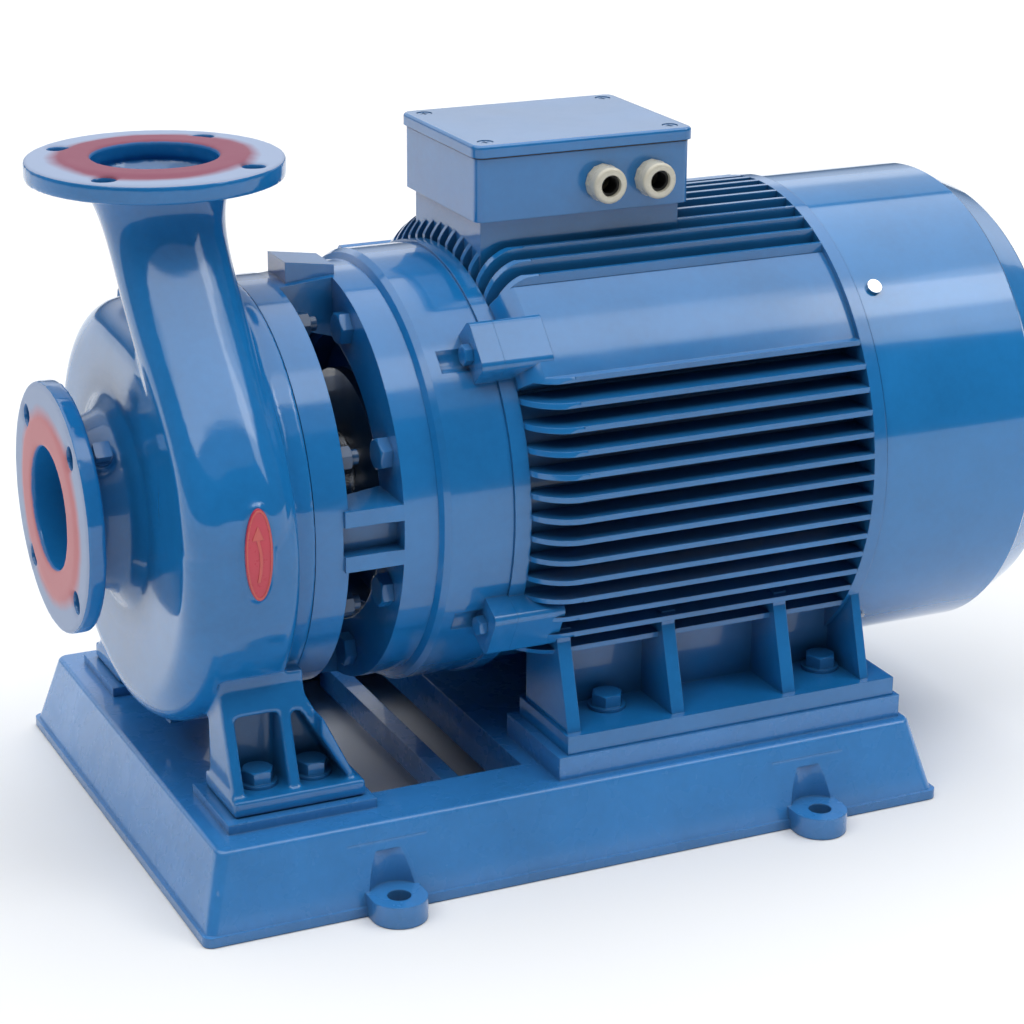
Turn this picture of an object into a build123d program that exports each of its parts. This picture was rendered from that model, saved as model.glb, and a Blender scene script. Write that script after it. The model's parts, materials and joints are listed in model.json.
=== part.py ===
from build123d import *
from math import cos, radians, sin, sqrt, tan
import os

os.makedirs("parts", exist_ok=True)

# Close-coupled centrifugal water pump on a cast bedplate, in millimetres.
# X runs along the shaft from the suction flange towards the fan, Z is up, and the
# origin is the middle of the four foundation holes, on the floor.

# ---- Driving dimensions ------------------------------------------------------

AXIS_Z = 290.0  # shaft centre above the floor

# Bedplate
BASE_X0 = -350.0
BASE_X1 = 316.0
BASE_WIDTH = 474.0
BASE_HEIGHT = 70.0
BASE_LIP = 8.0  # upright edge round the floor
BASE_SLOPE = 19.0  # inset of the deck from the floor outline
BASE_WALL = 12.0
BASE_DECK = 14.0
DECK_OPENING = (-188.0, -48.0, 330.0)  # from x, to x, width
HOLD_DOWN_X = 192.0
HOLD_DOWN_Y = 246.0
HOLD_DOWN_HOLE = 9.5  # radius
LUG_RADIUS = 23.0
LUG_HEIGHT = 18.0
LUG_POCKET_TOP = 48.0

# Feet
PUMP_FOOT_Z = 78.0
PUMP_FOOT_X = (-305.0, -194.0)
PUMP_FOOT_Y = (112.0, 184.0)
PUMP_FOOT_THICK = 14.0
PUMP_BOLT_X = (-274.5, -229.0)
PUMP_BOLT_Y = 153.0
MOTOR_FOOT_Z = 90.0
MOTOR_FOOT_X = (-25.0, 285.0)
MOTOR_FOOT_Y = (112.0, 205.0)
MOTOR_FOOT_THICK = 16.0
MOTOR_BOLT_X = (33.0, 239.0)
MOTOR_BOLT_Y = 159.0
FOOT_BOLT = 16.0  # thread diameter
FOOT_HOLE = 9.0  # radius

# Pipe flanges, DN 100, four bolts
FLANGE_RADIUS = 102.5
FLANGE_THICK = 18.0
FLANGE_FACE_RADIUS = 74.0
FLANGE_FACE_STEP = 2.0
FLANGE_PCD = 170.0
FLANGE_HOLE = 9.0
PORT_RADIUS = 50.0
SUCTION_X = -392.0
DISCHARGE_X = -292.0
DISCHARGE_Z = 570.0

# Casing
VOLUTE_X = (-336.0, -248.0)
VOLUTE_START = 160.0  # outer radius over the tongue
VOLUTE_END = 195.0  # outer radius at the throat
CASING_WALL = 10.0
CASING_FLANGE_X = (-248.0, -228.0)
CASING_FLANGE_RADIUS = 172.0
COVER_SPIGOT = 134.7
COVER_RIM = 144.8
COVER_SEAT_X = -240.0
GASKET_THICK = 1.5
CASING_BOLT_CIRCLE = 158.0  # radius
CASING_BOLT = 12.0
CASING_BOLT_COUNT = 8
EIGHT_ANGLES = [22.5 + 45 * step for step in range(8)]

# Plugs and the direction plate
PLUG_THREAD = 6.6  # radius
PLUG_DEPTH = 7.0
PLUG_HEAD = 14.0  # across the square
ARROW_PLATE = (-285.0, 302.0, 11.0, 37.0, -198.0)  # x, z, half width, half height, face y

# Impeller, ring and seal
IMPELLER_RADIUS = 128.0
IMPELLER_VANES = 6
VANE_THICK = 5.0
NECK_RADIUS = 52.0
RUNNING_GAP = 0.35
SEAL_FACE_X = -232.0

# Lantern between the casing and the motor
LANTERN_X = (-228.0, -200.0, -155.0, -126.0)  # flange, window, window, flange
LANTERN_RIM = 174.0
LANTERN_BOLT_CIRCLE = 150.0  # radius
LANTERN_BOLT = 16.0
STRUT_WIDTH = 50.0
MOTOR_SPIGOT = 125.0

# Motor
SHIELD_RADIUS = 182.0
FRAME_RING = 184.0
FRAME_X = (-64.0, 264.0)
FRAME_BORE = 163.5
FRAME_WALL_RADIUS = 178.0
FIN_ENVELOPE = 210.0
FIN_X = (-50.0, 252.0)
FIN_THICK = 4.5
SIDE_FIN_PITCH = 17.9
SIDE_FIN_COUNT = 14
SIDE_FIN_LOWEST = -122.0  # from the shaft centre
TOP_FIN_PITCH = 15.5
TOP_FIN_COUNT = 15
PANEL_ANGLES = (33.0, 57.0)  # smooth shoulder between side and top fins
PANEL_RADIUS = 205.0
LUG_ANGLES = (43.0, 137.0, 208.0, 332.0)
LUG_CENTRE = 184.0
LUG_BOLT_CIRCLE = 190.0  # radius
SHIELD_LUG_X = -84.0
CORE_X = (-5.0, 190.0)
STATOR_BORE = 105.2
ROTOR_RADIUS = 104.5

# Bearings, 60 x 130 x 31
BEARING_WIDTH = 31.0
BEARING_BORE = 30.0
BEARING_OUTSIDE = 65.0
BALL_CIRCLE = 48.0
BALL_RADIUS = 11.0
BALL_COUNT = 8
BALL_GAP = 0.3
DRIVE_BEARING_X = -110.0
FAN_BEARING_X = 305.5

# Fan and cowl
FAN_RADIUS = 165.0
FAN_BLADES = 9
COWL_X = (266.0, 412.0, 447.0, 462.0)
COWL_RADIUS = 207.0
COWL_STEP_RADIUS = 204.5
COWL_END_RADIUS = 190.0
COWL_SHEET = 2.5
COWL_SCREW_X = 282.0

# Terminal box
BOX_X = (-49.0, 144.0)
BOX_WIDTH = 149.0
BOX_Z = (507.0, 558.5, 560.0, 570.0)  # base, gasket, lid, top of lid
BOX_WALL = 6.0
GLAND_X = (63.0, 108.0)
GLAND_Z = 531.0
GLAND_THREAD = 12.5  # radius
GLAND_RADIUS = 15.5
LID_SCREW_HEAD = 6.0  # radius
LID_RECESS = 4.0
CABLE_RADIUS = 7.0

# ---- Shared planes and small helpers -----------------------------------------

SHAFT_AXIS = Axis((0, 0, AXIS_Z), (1, 0, 0))
LENGTHWISE = Plane(origin=(0, 0, AXIS_Z), x_dir=(1, 0, 0), z_dir=(0, -1, 0))


def across(x):
    """Plane square to the shaft: local x is +Y, local y is +Z above the shaft."""
    return Plane(origin=(x, 0, AXIS_Z), x_dir=(0, 1, 0), z_dir=(1, 0, 0))


def upright(y):
    """Plane facing -Y at the given y: local x is +X, local y is +Z from the floor."""
    return Plane(origin=(0, y, 0), x_dir=(1, 0, 0), z_dir=(0, -1, 0))


def outline(points, plane):
    """Face inside a closed outline of straight sides."""
    with BuildSketch(plane) as face:
        with BuildLine():
            Polyline(*points, close=True)
        make_face()
    return face.sketch


def turn(points, mode=Mode.ADD):
    """Turn an outline of (x, radius) corners about the shaft."""
    revolve(outline(points, LENGTHWISE), axis=SHAFT_AXIS, mode=mode)


def ring(x0, x1, inner, outer, mode=Mode.ADD):
    """Plain ring about the shaft."""
    turn([(x0, inner), (x0, outer), (x1, outer), (x1, inner)], mode)


def block(x_range, y_range, z_range, mode=Mode.ADD):
    """Rectangular block between two corners."""
    with BuildSketch(Plane.XY.offset(z_range[0])) as face:
        with Locations(((x_range[0] + x_range[1]) / 2, (y_range[0] + y_range[1]) / 2)):
            Rectangle(x_range[1] - x_range[0], abs(y_range[1] - y_range[0]))
    extrude(face.sketch, amount=z_range[1] - z_range[0], mode=mode)


def circle_of_pins(x, length, pin_radius, circle_radius, count, start, mode=Mode.ADD):
    """Round pins, or holes, along the shaft on a circle about it."""
    with BuildSketch(across(x)) as face:
        with PolarLocations(circle_radius, count, start_angle=start):
            Circle(pin_radius)
    extrude(face.sketch, amount=length, mode=mode)


def hex_head(thread, height, crown_down=False):
    """Hexagon head standing on the origin, its free end chamfered by a cone."""
    crown = 0.71 * thread
    skirt = crown + height / tan(radians(30))
    bottom, top = (crown, skirt) if crown_down else (skirt, crown)
    with BuildPart() as head:
        with BuildSketch():
            RegularPolygon(0.866 * thread, 6)
        extrude(amount=height)
        Cone(bottom, top, height, align=(Align.CENTER, Align.CENTER, Align.MIN), mode=Mode.INTERSECT)
    return head.part


def circle_of_hexes(x, length, thread, circle_radius, angles, crown_down=False):
    """Hexagon heads or nuts along the shaft on a circle about it, free ends at +X or -X."""
    head = hex_head(thread, length, crown_down)
    with Locations(across(x)):
        for angle in angles:
            with PolarLocations(circle_radius, 1, start_angle=angle):
                add(head)


def upright_bolts(spots, seat_z, thread, grip):
    """Hexagon bolts with washers, heads up on seat_z, shanks reaching down."""
    with BuildSketch(Plane.XY.offset(seat_z)) as washers:
        with Locations(*spots):
            Circle(thread)
    extrude(washers.sketch, amount=0.18 * thread)
    head = hex_head(thread, 0.65 * thread)
    with Locations(*[(x, y, seat_z + 0.18 * thread) for x, y in spots]):
        add(head)
    with BuildSketch(Plane.XY.offset(seat_z - grip)) as shanks:
        with Locations(*spots):
            Circle(thread / 2)
    extrude(shanks.sketch, amount=grip)


def save(piece, name):
    """Label a finished piece and write it to its own file."""
    piece.part.label = name
    export_step(piece.part, f"parts/{name}.step")


def four_spots(x_pair, y):
    """Four points at two x positions, on both sides of the centre line."""
    return [(x, side * y) for x in x_pair for side in (-1, 1)]


def slanted_cut(side, x_range, foot, top):
    """Remove everything outside a slope from (y, z) at the foot to (y, z) at the top."""
    corners = [(side * foot[0], foot[1]), (side * top[0], top[1]), (side * top[0], top[1] + 12)]
    corners += [(side * 330, top[1] + 12), (side * 330, foot[1])]
    with BuildSketch(Plane(origin=(x_range[0], 0, 0), x_dir=(0, 1, 0), z_dir=(1, 0, 0))) as wedge:
        with BuildLine():
            Polyline(*corners, close=True)
        make_face()
    extrude(wedge.sketch, amount=x_range[1] - x_range[0], mode=Mode.SUBTRACT)


# ---- Bedplate ------------------------------------------------------------------

base_length = BASE_X1 - BASE_X0
base_middle = (BASE_X0 + BASE_X1) / 2
hold_down_spots = four_spots((-HOLD_DOWN_X, HOLD_DOWN_X), HOLD_DOWN_Y)


def base_outline(z, inset, corner):
    """Bedplate outline at height z, drawn in by inset on every side."""
    with BuildSketch(Plane.XY.offset(z)) as face:
        with Locations((base_middle, 0)):
            RectangleRounded(base_length - 2 * inset, BASE_WIDTH - 2 * inset, corner)
    return face.sketch


with BuildPart() as base_plate:
    extrude(base_outline(0, 0, 8), amount=BASE_LIP)
    loft([base_outline(BASE_LIP, 3, 8), base_outline(BASE_HEIGHT, BASE_SLOPE, 10)])
    deck_rim = base_plate.edges().group_by(Axis.Z)[-1]
    fillet(deck_rim, radius=4)
    under = BASE_HEIGHT - BASE_DECK
    loft([base_outline(0, BASE_WALL, 6), base_outline(under, BASE_SLOPE + BASE_WALL, 6)], mode=Mode.SUBTRACT)
    # Backing for the pockets above the lugs
    for x, y in hold_down_spots:
        side = 1 if y > 0 else -1
        block((x - 34, x + 34), sorted((side * 200, side * 222)), (0, under))
    # Opening in the deck, with its own turned-down edge
    x0, x1, width = DECK_OPENING
    block((x0 - 12, x1 + 12), (-width / 2 - 12, width / 2 + 12), (under - 22, under))
    block((x0, x1), (-width / 2, width / 2), (0, BASE_HEIGHT), mode=Mode.SUBTRACT)
    # Cross ribs under the pump and the motor
    for rib_x in (-262, 60, 190):
        block((rib_x - 6, rib_x + 6), (-BASE_WIDTH / 2 + 34, BASE_WIDTH / 2 - 34), (under - 34, under))
    # One low tie across the opening
    block((-96, -80), (-width / 2 - 6, width / 2 + 6), (18, 42))
    # Raised pads that the feet stand on
    for side in (-1, 1):
        pump_pad_y = sorted((side * (PUMP_FOOT_Y[0] - 6), side * (PUMP_FOOT_Y[1] + 8)))
        motor_pad_y = sorted((side * (MOTOR_FOOT_Y[0] - 6), side * (MOTOR_FOOT_Y[1] + 3)))
        block((PUMP_FOOT_X[0] - 8, DECK_OPENING[0]), pump_pad_y, (BASE_HEIGHT - 1, PUMP_FOOT_Z))
        block((-34, MOTOR_FOOT_X[1] + 5), motor_pad_y, (BASE_HEIGHT - 1, MOTOR_FOOT_Z))
    # Foundation lugs with a bolt pocket cut into the wall above each
    for x, y in hold_down_spots:
        side = 1 if y > 0 else -1
        block((x - LUG_RADIUS, x + LUG_RADIUS), sorted((side * 214, y)), (0, LUG_HEIGHT))
    with BuildSketch(Plane.XY) as lug_tips:
        with Locations(*hold_down_spots):
            Circle(LUG_RADIUS)
    extrude(lug_tips.sketch, amount=LUG_HEIGHT)
    with BuildSketch(Plane.XY.offset(LUG_HEIGHT)) as pockets:
        for x, y in hold_down_spots:
            side = 1 if y > 0 else -1
            with Locations((x, y - 2 * side)):
                Circle(LUG_RADIUS)
    extrude(pockets.sketch, amount=LUG_POCKET_TOP - LUG_HEIGHT, mode=Mode.SUBTRACT)
    with BuildSketch(Plane.XY) as hold_down_holes:
        with Locations(*hold_down_spots):
            Circle(HOLD_DOWN_HOLE)
    extrude(hold_down_holes.sketch, amount=LUG_HEIGHT, mode=Mode.SUBTRACT)
    # Tapped holes for the foot bolts
    with BuildSketch(Plane.XY) as foot_taps:
        with Locations(*four_spots(PUMP_BOLT_X, PUMP_BOLT_Y), *four_spots(MOTOR_BOLT_X, MOTOR_BOLT_Y)):
            Circle(FOOT_BOLT / 2)
    extrude(foot_taps.sketch, amount=MOTOR_FOOT_Z, mode=Mode.SUBTRACT)
save(base_plate, "base_plate")

# ---- Pump casing ---------------------------------------------------------------


def volute_radius(swept):
    """Outer radius at an angle swept clockwise from the top, growing to the throat."""
    if swept <= 270:
        return VOLUTE_START + (VOLUTE_END - VOLUTE_START) * swept / 270
    return VOLUTE_END - (VOLUTE_END - VOLUTE_START) * (swept - 270) / 90


def volute_face(x, inset):
    """Volute outline square to the shaft, drawn in by the wall thickness."""
    points = []
    for swept in range(0, 360, 30):
        radius = volute_radius(swept) - inset
        points.append((radius * sin(radians(swept)), radius * cos(radians(swept))))
    with BuildSketch(across(x)) as face:
        with BuildLine():
            Spline(*points, periodic=True)
        make_face()
    return face.sketch


# Discharge neck: height above the shaft, centre y, centre x, width in x, depth in y
NECK = [
    (10, -142, -292, 88, 104, 26),
    (75, -134, -292, 88, 100, 34),
    (135, -92, -292, 90, 94, 42),
    (190, -44, -292, 92, 92, 44),
    (232, -14, -292, 98, 98, 47.5),
    (266, 0, DISCHARGE_X, 128, 128, 63),
]


def neck_sections(wall):
    """Sections of the neck from the throat up to the flange, thinned by the wall."""
    sections = []
    for height, y, x, width, depth, corner in NECK:
        shrink = 2 * wall
        with BuildSketch(Plane.XY.offset(AXIS_Z + height)) as face:
            with Locations((x, y)):
                RectangleRounded(width - shrink, depth - shrink, corner - wall * 0.98)
        sections.append(face.sketch)
    return sections


def pump_foot_pedestal(side):
    """Foot plate and ribbed pedestal on one side of the casing."""
    foot_top = PUMP_FOOT_Z + PUMP_FOOT_THICK
    x0, x1 = PUMP_FOOT_X
    y_in, y_out = PUMP_FOOT_Y
    block(PUMP_FOOT_X, sorted((side * y_in, side * y_out)), (PUMP_FOOT_Z, foot_top))
    rise = 180
    knee = 160
    back = CASING_FLANGE_X[1] - 4
    body = [(x0 + 2, foot_top - 2), (x1 - 4, foot_top - 2), (back, knee), (back, rise), (x0 + 2, rise)]
    extrude(outline(body, upright(side * (y_in + 6))), amount=-side * (y_out - y_in - 12))


vent_turn = radians(27)
vent_reach = VOLUTE_START + 13
PLUG_FACES = [
    # suction gauge, discharge gauge, vent and drain
    Plane(origin=(-362, -52, AXIS_Z + 56), x_dir=(1, 0, 0), z_dir=(0, -1, 1)),
    Plane(origin=(-292, 56, 524), x_dir=(1, 0, 0), z_dir=(0, 1, 0)),
    Plane(
        origin=(-292, vent_reach * sin(vent_turn), AXIS_Z + vent_reach * cos(vent_turn)),
        x_dir=(1, 0, 0),
        z_dir=(0, sin(vent_turn), cos(vent_turn)),
    ),
    Plane(origin=(-292, 0, 99), x_dir=(1, 0, 0), z_dir=(0, 0, -1)),
]


def round_bar(plane, radius, length, mode=Mode.ADD):
    """Round bar or hole, square to a plane."""
    with BuildSketch(plane) as face:
        Circle(radius)
    extrude(face.sketch, amount=length, mode=mode)


def arrow_oval(grow):
    """Oval of the direction plate, in the upright plane of its seat."""
    x, z, half_width, half_height, face_y = ARROW_PLATE
    with BuildSketch(upright(face_y)) as oval:
        with Locations((x, z)):
            Ellipse(half_width + grow, half_height + grow)
    return oval.sketch


with BuildPart() as pump_casing:
    extrude(volute_face(VOLUTE_X[0], 0), amount=VOLUTE_X[1] - VOLUTE_X[0])
    fillet(pump_casing.edges().group_by(Axis.X)[0], radius=30)
    fillet(pump_casing.edges().group_by(Axis.X)[-1], radius=8)
    loft(neck_sections(0))
    # Flanged back rim that the lantern bolts to
    ring(VOLUTE_X[1] - 10, CASING_FLANGE_X[1], 100, CASING_FLANGE_RADIUS)
    # Suction nozzle and both pipe flanges
    turn([
        (SUCTION_X + FLANGE_THICK - 1, 0),
        (SUCTION_X + FLANGE_THICK - 1, 64),
        (SUCTION_X + FLANGE_THICK + 6, 66),
        (-345, 74),
        (-334, 92),
        (-320, 92),
        (-320, 0),
    ])
    ring(SUCTION_X + FLANGE_FACE_STEP, SUCTION_X + FLANGE_THICK, 0.0, FLANGE_RADIUS)
    ring(SUCTION_X, SUCTION_X + FLANGE_THICK, 0.0, FLANGE_FACE_RADIUS)
    discharge_steps = [
        (DISCHARGE_Z - FLANGE_THICK, FLANGE_THICK - FLANGE_FACE_STEP, FLANGE_RADIUS),
        (DISCHARGE_Z - FLANGE_THICK, FLANGE_THICK, FLANGE_FACE_RADIUS),
    ]
    for step_z, step_height, step_radius in discharge_steps:
        with BuildSketch(Plane.XY.offset(step_z)) as disc:
            with Locations((DISCHARGE_X, 0)):
                Circle(step_radius)
        extrude(disc.sketch, amount=step_height)
    for side in (-1, 1):
        pump_foot_pedestal(side)
        slope_foot = (PUMP_FOOT_Y[1] - 6, PUMP_FOOT_Z + PUMP_FOOT_THICK)
        slanted_cut(side, (PUMP_FOOT_X[0], CASING_FLANGE_X[1]), slope_foot, (148, 172))
    # Bosses for the plugs and the seat of the direction plate
    for plug_face in PLUG_FACES:
        round_bar(plug_face, PLUG_THREAD + 5, -20)
    extrude(arrow_oval(2.5), amount=-20)
    # Water passages
    cavity_x = (VOLUTE_X[0] + CASING_WALL, COVER_SEAT_X - 10)
    extrude(volute_face(cavity_x[0], CASING_WALL), amount=cavity_x[1] - cavity_x[0] - 8, mode=Mode.SUBTRACT)
    loft(neck_sections(CASING_WALL - 1), mode=Mode.SUBTRACT)
    with BuildSketch(Plane.XY.offset(DISCHARGE_Z - 22)) as discharge_port:
        with Locations((DISCHARGE_X, 0)):
            Circle(PORT_RADIUS)
    extrude(discharge_port.sketch, amount=22, mode=Mode.SUBTRACT)
    ring(SUCTION_X, -343, 0, PORT_RADIUS, mode=Mode.SUBTRACT)
    ring(-343, -320, 0, 58, mode=Mode.SUBTRACT)
    ring(-262, COVER_SEAT_X, 0, COVER_SPIGOT, mode=Mode.SUBTRACT)
    ring(COVER_SEAT_X, CASING_FLANGE_X[1], 0, COVER_RIM, mode=Mode.SUBTRACT)
    # Bolt holes
    circle_of_pins(CASING_FLANGE_X[0] + 2, 18, CASING_BOLT / 2, CASING_BOLT_CIRCLE, CASING_BOLT_COUNT, 22.5,
                   mode=Mode.SUBTRACT)
    circle_of_pins(SUCTION_X, FLANGE_THICK, FLANGE_HOLE, FLANGE_PCD / 2, 4, 45, mode=Mode.SUBTRACT)
    with BuildSketch(Plane.XY.offset(DISCHARGE_Z - FLANGE_THICK)) as discharge_holes:
        with Locations((DISCHARGE_X, 0)):
            with PolarLocations(FLANGE_PCD / 2, 4, start_angle=45):
                Circle(FLANGE_HOLE)
    extrude(discharge_holes.sketch, amount=FLANGE_THICK, mode=Mode.SUBTRACT)
    with BuildSketch(Plane.XY.offset(PUMP_FOOT_Z)) as pump_foot_holes:
        with Locations(*four_spots(PUMP_BOLT_X, PUMP_BOLT_Y)):
            Circle(FOOT_HOLE)
    extrude(pump_foot_holes.sketch, amount=PUMP_FOOT_THICK, mode=Mode.SUBTRACT)
    for plug_face in PLUG_FACES:
        round_bar(plug_face, PLUG_THREAD, -PLUG_DEPTH, mode=Mode.SUBTRACT)
    # Recesses leave a web and three ribs in each pedestal
    foot_top = PUMP_FOOT_Z + PUMP_FOOT_THICK
    for side in (-1, 1):
        bays = [
            [(-293, foot_top), (-256, foot_top), (-256, 150), (-293, 150)],
            [(-246, foot_top), (-206, foot_top), (-237.5, 148), (-246, 148)],
        ]
        for bay in bays:
            extrude(outline(bay, upright(side * 136)), amount=-side * 60, mode=Mode.SUBTRACT)
save(pump_casing, "pump_casing")

with BuildPart() as direction_plate:
    extrude(arrow_oval(0), amount=2)
save(direction_plate, "direction_plate")

with BuildPart() as casing_plugs:
    for plug_face in PLUG_FACES:
        round_bar(plug_face, PLUG_THREAD, -PLUG_DEPTH)
        round_bar(plug_face, PLUG_THREAD + 3, 3)
        with BuildSketch(plug_face.offset(3)) as square:
            RectangleRounded(PLUG_HEAD, PLUG_HEAD, 2)
        extrude(square.sketch, amount=8)
save(casing_plugs, "casing_plugs")

# ---- Cover, seal and impeller ----------------------------------------------------

with BuildPart() as casing_cover:
    turn([
        (-252, 36),
        (-252, COVER_SPIGOT),
        (COVER_SEAT_X + GASKET_THICK, COVER_SPIGOT),
        (COVER_SEAT_X + GASKET_THICK, COVER_RIM),
        (CASING_FLANGE_X[1], COVER_RIM),
        (CASING_FLANGE_X[1], 126),
        (-238, 126),
        (-238, 50),
        (-212, 50),
        (-212, 20.6),
        (-222, 20.6),
        (-222, 36),
    ])
save(casing_cover, "casing_cover")

with BuildPart() as cover_gasket:
    ring(COVER_SEAT_X, COVER_SEAT_X + GASKET_THICK, COVER_SPIGOT, COVER_RIM)
save(cover_gasket, "cover_gasket")

with BuildPart() as casing_wear_ring:
    ring(-341, -329, NECK_RADIUS + RUNNING_GAP, 58)
save(casing_wear_ring, "casing_wear_ring")

# Water path of the impeller between its two shrouds, as (x, radius)
vane_space = [(-306.5, 64), (-301.5, 128), (-276, 128), (-279, 60), (-286, 44), (-300, 52)]

with BuildPart() as impeller_vanes:
    with BuildSketch(across(-312)) as vane_lines:
        with BuildLine():
            with PolarLocations(0, IMPELLER_VANES):
                ThreePointArc((48, 0), (68, 62), (10, 127.6))
        trace(line_width=VANE_THICK)
    extrude(vane_lines.sketch, amount=40)
    turn(vane_space, mode=Mode.INTERSECT)

with BuildPart() as impeller:
    turn([
        (-262, 16),
        (-262, 30),
        (-271, 36),
        (-271.5, IMPELLER_RADIUS),
        (-276.5, IMPELLER_RADIUS),
        (-279.5, 60),
        (-287, 36),
        (-300, 26),
        (-300, 16),
    ])
    turn([
        (-339, 46),
        (-339, NECK_RADIUS),
        (-318, NECK_RADIUS),
        (-311, 64),
        (-306, IMPELLER_RADIUS),
        (-301, IMPELLER_RADIUS),
        (-306, 64),
        (-313, 50),
        (-320, 46),
    ])
    add(impeller_vanes.part)
    block((-301, -261), (-2.5, 2.5), (AXIS_Z, AXIS_Z + 18.5), mode=Mode.SUBTRACT)
save(impeller, "impeller")

with BuildPart() as impeller_key:
    block((-296, -266), (-2.5, 2.5), (AXIS_Z + 13, AXIS_Z + 18.5))
save(impeller_key, "impeller_key")

with BuildPart() as impeller_washer:
    ring(-303, -300, 10, 24)
save(impeller_washer, "impeller_washer")

with BuildPart() as impeller_nut:
    with BuildSketch(across(-319)) as nut_hex:
        RegularPolygon(17.3, 6)
    extrude(nut_hex.sketch, amount=16)
    turn([(-327, 0), (-327, 7), (-323, 12), (-319, 14), (-319, 0)])
    ring(-317, -303, 0, 10, mode=Mode.SUBTRACT)
save(impeller_nut, "impeller_nut")

with BuildPart() as seal_collar:
    ring(-262, -257, 19.5, 32)
save(seal_collar, "seal_collar")

with BuildPart() as seal_spring:
    coil_path = Helix(pitch=4.6, height=13.8, radius=28, center=(-255.4, 0, AXIS_Z), direction=(1, 0, 0))
    with BuildSketch(Plane(origin=coil_path @ 0, z_dir=coil_path % 0)) as wire:
        Circle(1.5)
    sweep(wire.sketch, path=coil_path)
save(seal_spring, "seal_spring")

with BuildPart() as seal_head:
    seal_lip_x = SEAL_FACE_X - 0.05
    turn([(-239.8, 19.5), (-239.8, 32), (-235, 32), (-235, 28), (seal_lip_x, 28), (seal_lip_x, 22), (-235, 19.5)])
save(seal_head, "seal_head")

with BuildPart() as seal_seat:
    turn([(SEAL_FACE_X, 21), (SEAL_FACE_X, 30), (-228, 33), (-222, 33), (-222, 21)])
save(seal_seat, "seal_seat")

with BuildPart() as seal_seat_ring:
    ring(-227, -222, 33, 36)
save(seal_seat_ring, "seal_seat_ring")

# ---- Lantern ----------------------------------------------------------------------

with BuildPart() as lantern:
    pump_face, window_start, window_end, motor_face = LANTERN_X
    turn([
        (pump_face, 126),
        (pump_face, 170),
        (window_start, 170),
        (window_end, LANTERN_RIM),
        (motor_face, LANTERN_RIM),
        (motor_face, MOTOR_SPIGOT),
        (window_end, MOTOR_SPIGOT),
        (window_start, 138),
        (window_start, 126),
    ])
    # Windows leave four struts, at the top, the bottom and both sides
    half = STRUT_WIDTH / 2
    for side_y in (-1, 1):
        for side_z in (-1, 1):
            window_y = sorted((side_y * half, side_y * 230))
            window_z = sorted((side_z * half, side_z * 230))
            heights = (AXIS_Z + window_z[0], AXIS_Z + window_z[1])
            block((window_start, window_end), window_y, heights, mode=Mode.SUBTRACT)
    # Bridge over the top strut, and channel faces on the side struts
    bridge = [
        (window_start + 7, AXIS_Z + 150),
        (window_start + 7, AXIS_Z + 187),
        (window_end + 4, AXIS_Z + 181),
        (window_end + 4, AXIS_Z + 150),
    ]
    extrude(outline(bridge, upright(20)), amount=40)
    for side_y in (-1, 1):
        strut_y = sorted((side_y * 140, side_y * 172))
        block((window_start - 4, window_end + 2), strut_y, (AXIS_Z - half, AXIS_Z + half))
        channel_y = sorted((side_y * 157, side_y * 180))
        block((window_start - 5, window_end), channel_y, (AXIS_Z - 12, AXIS_Z + 12), mode=Mode.SUBTRACT)
    bolt_start = 22.5
    circle_of_pins(pump_face, 28, CASING_BOLT / 2 + 0.5, CASING_BOLT_CIRCLE, CASING_BOLT_COUNT, bolt_start,
                   mode=Mode.SUBTRACT)
    circle_of_pins(window_end, 29, LANTERN_BOLT / 2 + 0.5, LANTERN_BOLT_CIRCLE, 8, bolt_start,
                   mode=Mode.SUBTRACT)
save(lantern, "lantern")

with BuildPart() as casing_studs:
    circle_of_pins(CASING_FLANGE_X[0] + 2, 62, CASING_BOLT / 2, CASING_BOLT_CIRCLE, CASING_BOLT_COUNT, 22.5)
save(casing_studs, "casing_studs")

with BuildPart() as casing_nuts:
    circle_of_hexes(LANTERN_X[1], 10, CASING_BOLT, CASING_BOLT_CIRCLE, EIGHT_ANGLES)
    circle_of_pins(LANTERN_X[1], 10, CASING_BOLT / 2, CASING_BOLT_CIRCLE, CASING_BOLT_COUNT, 22.5,
                   mode=Mode.SUBTRACT)
save(casing_nuts, "casing_nuts")

with BuildPart() as lantern_bolts:
    circle_of_hexes(LANTERN_X[2] - 10, 10, LANTERN_BOLT, LANTERN_BOLT_CIRCLE, EIGHT_ANGLES, crown_down=True)
    circle_of_pins(LANTERN_X[2], 44, LANTERN_BOLT / 2, LANTERN_BOLT_CIRCLE, 8, 22.5)
save(lantern_bolts, "lantern_bolts")

with BuildPart() as slinger:
    turn([(-158, 26), (-158, 44), (-154, 46), (-150, 32), (-150, 26)])
save(slinger, "slinger")

# ---- Motor shields, caps and bearings ------------------------------------------------


def corner_lugs(x_range):
    """Bolt lugs at the four corners of the motor, between two x positions."""
    with BuildSketch(across(x_range[0])) as lugs:
        for angle in LUG_ANGLES:
            with PolarLocations(LUG_CENTRE, 1, start_angle=angle):
                RectangleRounded(44, 44, 6)
    extrude(lugs.sketch, amount=x_range[1] - x_range[0])


def corner_pins(x, length, pin_radius, mode=Mode.ADD):
    """Round pins or holes at the four corner lugs."""
    with BuildSketch(across(x)) as pins:
        for angle in LUG_ANGLES:
            with PolarLocations(LUG_BOLT_CIRCLE, 1, start_angle=angle):
                Circle(pin_radius)
    extrude(pins.sketch, amount=length, mode=mode)


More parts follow.
